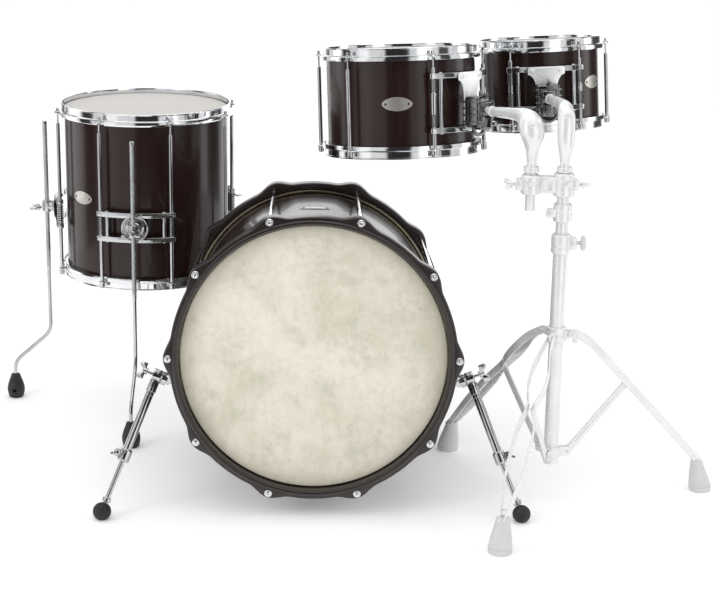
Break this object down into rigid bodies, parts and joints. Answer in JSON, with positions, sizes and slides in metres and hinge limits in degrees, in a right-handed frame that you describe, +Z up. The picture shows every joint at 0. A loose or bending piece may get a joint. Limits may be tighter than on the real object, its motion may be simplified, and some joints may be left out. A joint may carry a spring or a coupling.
{
  "type": "drum kit",
  "caption": "Shell drum kit: bass drum on folding spurs, floor tom on sliding legs and two rack toms on a double-braced twin tom stand.",
  "frame": {"origin": "on the floor, under the middle of the kit's bounding box", "axes": "+Z up, -Y towards the audience, which the front of the bass drum faces, +X towards the tom stand"},
  "size_m": [1.5014, 1.0956, 0.8641],
  "materials": {
    "bass_shell_finish": "dark brown gloss lacquer",
    "bass_front_head_finish": "mottled parchment film",
    "bass_batter_head_finish": "coated white film",
    "bass_front_hoop_finish": "dark brown satin lacquer",
    "bass_rear_hoop_finish": "dark brown satin lacquer with chrome rods",
    "left_spur_bracket_finish": "polished chrome",
    "right_spur_bracket_finish": "polished chrome",
    "floor_tom_shell_finish": "dark brown gloss lacquer",
    "floor_tom_top_head_finish": "coated white film",
    "floor_tom_bottom_head_finish": "clear film",
    "floor_tom_top_hoop_finish": "polished chrome",
    "floor_tom_bottom_hoop_finish": "polished chrome",
    "floor_tom_front_bracket_finish": "polished chrome",
    "floor_tom_rear_bracket_finish": "polished chrome",
    "floor_tom_left_bracket_finish": "polished chrome",
    "stand_base_tube_finish": "pale worn chrome",
    "left_spur_tube_finish": "polished chrome",
    "left_spur_rod_finish": "polished chrome",
    "left_spur_foot_finish": "matt black rubber",
    "left_spur_wing_screw_finish": "polished chrome",
    "right_spur_tube_finish": "polished chrome",
    "right_spur_rod_finish": "polished chrome",
    "right_spur_foot_finish": "matt black rubber",
    "right_spur_wing_screw_finish": "polished chrome",
    "floor_tom_front_leg_finish": "polished chrome",
    "floor_tom_front_foot_finish": "matt black rubber",
    "floor_tom_front_wing_screw_finish": "polished chrome",
    "floor_tom_rear_leg_finish": "polished chrome",
    "floor_tom_rear_foot_finish": "matt black rubber",
    "floor_tom_rear_wing_screw_finish": "polished chrome",
    "floor_tom_left_leg_finish": "polished chrome",
    "floor_tom_left_foot_finish": "matt black rubber",
    "floor_tom_left_wing_screw_finish": "polished chrome",
    "stand_leg_collar_finish": "pale worn chrome",
    "stand_front_leg_finish": "pale worn chrome",
    "stand_front_strut_finish": "pale worn chrome",
    "stand_right_leg_finish": "pale worn chrome",
    "stand_right_strut_finish": "pale worn chrome",
    "stand_left_leg_finish": "pale worn chrome",
    "stand_left_strut_finish": "pale worn chrome",
    "stand_tom_holder_finish": "pale worn chrome",
    "stand_height_knob_finish": "pale worn chrome",
    "left_arm_wing_screw_finish": "pale worn chrome",
    "left_tom_arm_finish": "pale worn chrome",
    "left_tom_shell_finish": "dark brown gloss lacquer",
    "left_tom_top_head_finish": "coated white film",
    "left_tom_bottom_head_finish": "clear film",
    "left_tom_top_hoop_finish": "polished chrome",
    "left_tom_bottom_hoop_finish": "polished chrome",
    "left_tom_mount_finish": "polished chrome",
    "left_tom_wing_screw_finish": "polished chrome",
    "right_arm_wing_screw_finish": "pale worn chrome",
    "right_tom_arm_finish": "pale worn chrome",
    "right_tom_shell_finish": "dark brown gloss lacquer",
    "right_tom_top_head_finish": "coated white film",
    "right_tom_bottom_head_finish": "clear film",
    "right_tom_top_hoop_finish": "polished chrome",
    "right_tom_bottom_hoop_finish": "polished chrome",
    "right_tom_mount_finish": "polished chrome",
    "right_tom_wing_screw_finish": "polished chrome"
  },
  "bodies": {
    "drums_and_bases": {"bass_shell": "bass_shell_finish", "bass_front_head": "bass_front_head_finish", "bass_batter_head": "bass_batter_head_finish", "bass_front_hoop": "bass_front_hoop_finish", "bass_rear_hoop": "bass_rear_hoop_finish", "left_spur_bracket": "left_spur_bracket_finish", "right_spur_bracket": "right_spur_bracket_finish", "floor_tom_shell": "floor_tom_shell_finish", "floor_tom_top_head": "floor_tom_top_head_finish", "floor_tom_bottom_head": "floor_tom_bottom_head_finish", "floor_tom_top_hoop": "floor_tom_top_hoop_finish", "floor_tom_bottom_hoop": "floor_tom_bottom_hoop_finish", "floor_tom_front_bracket": "floor_tom_front_bracket_finish", "floor_tom_rear_bracket": "floor_tom_rear_bracket_finish", "floor_tom_left_bracket": "floor_tom_left_bracket_finish", "stand_base_tube": "stand_base_tube_finish"},
    "left_spur": {"left_spur_tube": "left_spur_tube_finish"},
    "left_spur_extension": {"left_spur_rod": "left_spur_rod_finish", "left_spur_foot": "left_spur_foot_finish"},
    "left_spur_screw": {"left_spur_wing_screw": "left_spur_wing_screw_finish"},
    "right_spur": {"right_spur_tube": "right_spur_tube_finish"},
    "right_spur_extension": {"right_spur_rod": "right_spur_rod_finish", "right_spur_foot": "right_spur_foot_finish"},
    "right_spur_screw": {"right_spur_wing_screw": "right_spur_wing_screw_finish"},
    "floor_tom_front_leg_body": {"floor_tom_front_leg": "floor_tom_front_leg_finish", "floor_tom_front_foot": "floor_tom_front_foot_finish"},
    "floor_tom_front_screw": {"floor_tom_front_wing_screw": "floor_tom_front_wing_screw_finish"},
    "floor_tom_rear_leg_body": {"floor_tom_rear_leg": "floor_tom_rear_leg_finish", "floor_tom_rear_foot": "floor_tom_rear_foot_finish"},
    "floor_tom_rear_screw": {"floor_tom_rear_wing_screw": "floor_tom_rear_wing_screw_finish"},
    "floor_tom_left_leg_body": {"floor_tom_left_leg": "floor_tom_left_leg_finish", "floor_tom_left_foot": "floor_tom_left_foot_finish"},
    "floor_tom_left_screw": {"floor_tom_left_wing_screw": "floor_tom_left_wing_screw_finish"},
    "stand_collar": {"stand_leg_collar": "stand_leg_collar_finish"},
    "stand_front_leg_body": {"stand_front_leg": "stand_front_leg_finish"},
    "stand_front_strut_body": {"stand_front_strut": "stand_front_strut_finish"},
    "stand_right_leg_body": {"stand_right_leg": "stand_right_leg_finish"},
    "stand_right_strut_body": {"stand_right_strut": "stand_right_strut_finish"},
    "stand_left_leg_body": {"stand_left_leg": "stand_left_leg_finish"},
    "stand_left_strut_body": {"stand_left_strut": "stand_left_strut_finish"},
    "stand_top": {"stand_tom_holder": "stand_tom_holder_finish"},
    "stand_knob": {"stand_height_knob": "stand_height_knob_finish"},
    "left_arm_screw": {"left_arm_wing_screw": "left_arm_wing_screw_finish"},
    "left_arm": {"left_tom_arm": "left_tom_arm_finish"},
    "left_tom": {"left_tom_shell": "left_tom_shell_finish", "left_tom_top_head": "left_tom_top_head_finish", "left_tom_bottom_head": "left_tom_bottom_head_finish", "left_tom_top_hoop": "left_tom_top_hoop_finish", "left_tom_bottom_hoop": "left_tom_bottom_hoop_finish", "left_tom_mount": "left_tom_mount_finish"},
    "left_mount_screw": {"left_tom_wing_screw": "left_tom_wing_screw_finish"},
    "right_arm_screw": {"right_arm_wing_screw": "right_arm_wing_screw_finish"},
    "right_arm": {"right_tom_arm": "right_tom_arm_finish"},
    "right_tom": {"right_tom_shell": "right_tom_shell_finish", "right_tom_top_head": "right_tom_top_head_finish", "right_tom_bottom_head": "right_tom_bottom_head_finish", "right_tom_top_hoop": "right_tom_top_hoop_finish", "right_tom_bottom_hoop": "right_tom_bottom_hoop_finish", "right_tom_mount": "right_tom_mount_finish"},
    "right_mount_screw": {"right_tom_wing_screw": "right_tom_wing_screw_finish"}
  },
  "joints": [
    {"name": "left_spur_fold", "type": "hinge", "parent": "drums_and_bases", "child": "left_spur", "pos_m": [-0.35576, -0.2604, 0.24864], "axis": [0.9231, 0, -0.3845], "range_deg": [0, 115]},
    {"name": "left_spur_slide", "type": "slide", "parent": "left_spur", "child": "left_spur_extension", "axis": [-0.3482, -0.4238, -0.8362], "range_m": [-0.04, 0.05]},
    {"name": "left_spur_screw_turn", "type": "hinge", "parent": "drums_and_bases", "child": "left_spur_screw", "pos_m": [-0.36417, -0.2604, 0.25214], "axis": [-0.9231, 0, 0.3845], "continuous": true},
    {"name": "right_spur_fold", "type": "hinge", "parent": "drums_and_bases", "child": "right_spur", "pos_m": [0.25007, -0.2604, 0.24864], "axis": [0.9231, 0, 0.3845], "range_deg": [0, 70]},
    {"name": "right_spur_slide", "type": "slide", "parent": "right_spur", "child": "right_spur_extension", "axis": [0.3482, -0.4238, -0.8362], "range_m": [-0.04, 0.05]},
    {"name": "right_spur_screw_turn", "type": "hinge", "parent": "drums_and_bases", "child": "right_spur_screw", "pos_m": [0.25848, -0.2604, 0.25214], "axis": [0.9231, 0, 0.3845], "continuous": true},
    {"name": "floor_tom_front_leg_slide", "type": "slide", "parent": "drums_and_bases", "child": "floor_tom_front_leg_body", "axis": [0, 0, 1], "range_m": [-0.14, 0.22]},
    {"name": "floor_tom_front_screw_turn", "type": "hinge", "parent": "drums_and_bases", "child": "floor_tom_front_screw", "pos_m": [-0.43375, 0.08526, 0.4451], "axis": [-0.0426, -0.9991, 0], "continuous": true},
    {"name": "floor_tom_rear_leg_slide", "type": "slide", "parent": "drums_and_bases", "child": "floor_tom_rear_leg_body", "axis": [0, 0, 1], "range_m": [-0.14, 0.22]},
    {"name": "floor_tom_rear_screw_turn", "type": "hinge", "parent": "drums_and_bases", "child": "floor_tom_rear_screw", "pos_m": [-0.25058, 0.47916, 0.4451], "axis": [0.7366, 0.6764, 0], "continuous": true},
    {"name": "floor_tom_left_leg_slide", "type": "slide", "parent": "drums_and_bases", "child": "floor_tom_left_leg_body", "axis": [0, 0, 1], "range_m": [-0.14, 0.22]},
    {"name": "floor_tom_left_screw_turn", "type": "hinge", "parent": "drums_and_bases", "child": "floor_tom_left_screw", "pos_m": [-0.65863, 0.33016, 0.4451], "axis": [-0.9991, 0.0426, 0], "continuous": true},
    {"name": "stand_collar_slide", "type": "slide", "parent": "drums_and_bases", "child": "stand_collar", "axis": [0, 0, 1], "range_m": [0, 0.04]},
    {"name": "stand_front_leg_fold", "type": "hinge", "parent": "stand_collar", "child": "stand_front_leg_body", "pos_m": [0.40276, -0.27318, 0.335], "axis": [0.9143, -0.4051, 0], "range_deg": [0, 13.5]},
    {"name": "stand_front_strut_fold", "type": "hinge", "parent": "drums_and_bases", "child": "stand_front_strut_body", "pos_m": [0.40438, -0.26952, 0.092], "axis": [0.9143, -0.4051, 0], "range_deg": [-11, 0]},
    {"name": "stand_right_leg_fold", "type": "hinge", "parent": "stand_collar", "child": "stand_right_leg_body", "pos_m": [0.45454, -0.23542, 0.335], "axis": [-0.1063, 0.9943, 0], "range_deg": [0, 13.5]},
    {"name": "stand_right_strut_fold", "type": "hinge", "parent": "drums_and_bases", "child": "stand_right_strut_body", "pos_m": [0.45057, -0.23584, 0.092], "axis": [-0.1063, 0.9943, 0], "range_deg": [-11, 0]},
    {"name": "stand_left_leg_fold", "type": "hinge", "parent": "stand_collar", "child": "stand_left_leg_body", "pos_m": [0.39596, -0.20946, 0.335], "axis": [-0.808, -0.5892, 0], "range_deg": [0, 13.5]},
    {"name": "stand_left_strut_fold", "type": "hinge", "parent": "drums_and_bases", "child": "stand_left_strut_body", "pos_m": [0.39831, -0.21269, 0.092], "axis": [-0.808, -0.5892, 0], "range_deg": [-11, 0]},
    {"name": "stand_height_slide", "type": "slide", "parent": "drums_and_bases", "child": "stand_top", "axis": [0, 0, 1], "range_m": [-0.022, 0.15]},
    {"name": "stand_height_knob_turn", "type": "hinge", "parent": "drums_and_bases", "child": "stand_knob", "pos_m": [0.44805, -0.23935, 0.516], "axis": [1, 0, 0], "continuous": true},
    {"name": "left_arm_screw_turn", "type": "hinge", "parent": "stand_top", "child": "left_arm_screw", "pos_m": [0.32545, -0.23935, 0.63], "axis": [-1, 0, 0], "continuous": true},
    {"name": "left_arm_swivel", "type": "hinge", "parent": "stand_top", "child": "left_arm", "pos_m": [0.35475, -0.23935, 0.607], "axis": [0, 0, 1], "range_deg": [-6, 30]},
    {"name": "left_tom_tilt", "type": "hinge", "parent": "left_arm", "child": "left_tom", "pos_m": [0.2771, -0.05647, 0.74333], "axis": [0.3909, -0.9204, 0], "range_deg": [-25, 20]},
    {"name": "left_mount_screw_turn", "type": "hinge", "parent": "left_tom", "child": "left_mount_screw", "pos_m": [0.2771, -0.05647, 0.75763], "axis": [0, 0, 1], "continuous": true},
    {"name": "right_arm_screw_turn", "type": "hinge", "parent": "stand_top", "child": "right_arm_screw", "pos_m": [0.44705, -0.23935, 0.63], "axis": [1, 0, 0], "continuous": true},
    {"name": "right_arm_swivel", "type": "hinge", "parent": "stand_top", "child": "right_arm", "pos_m": [0.41775, -0.23935, 0.607], "axis": [0, 0, 1], "range_deg": [-45, 8]},
    {"name": "right_tom_tilt", "type": "hinge", "parent": "right_arm", "child": "right_tom", "pos_m": [0.42756, 0.10625, 0.74318], "axis": [-0.0284, -0.9996, 0], "range_deg": [-25, 25]},
    {"name": "right_mount_screw_turn", "type": "hinge", "parent": "right_tom", "child": "right_mount_screw", "pos_m": [0.42756, 0.10625, 0.75748], "axis": [0, 0, 1], "continuous": true}
  ],
  "couplings": [
    {"joint": "stand_front_leg_fold", "follows": "stand_collar_slide", "rad_per_m": 5.572},
    {"joint": "stand_front_strut_fold", "follows": "stand_collar_slide", "rad_per_m": -4.302},
    {"joint": "stand_right_leg_fold", "follows": "stand_collar_slide", "rad_per_m": 5.572},
    {"joint": "stand_right_strut_fold", "follows": "stand_collar_slide", "rad_per_m": -4.302},
    {"joint": "stand_left_leg_fold", "follows": "stand_collar_slide", "rad_per_m": 5.572},
    {"joint": "stand_left_strut_fold", "follows": "stand_collar_slide", "rad_per_m": -4.302}
  ]
}
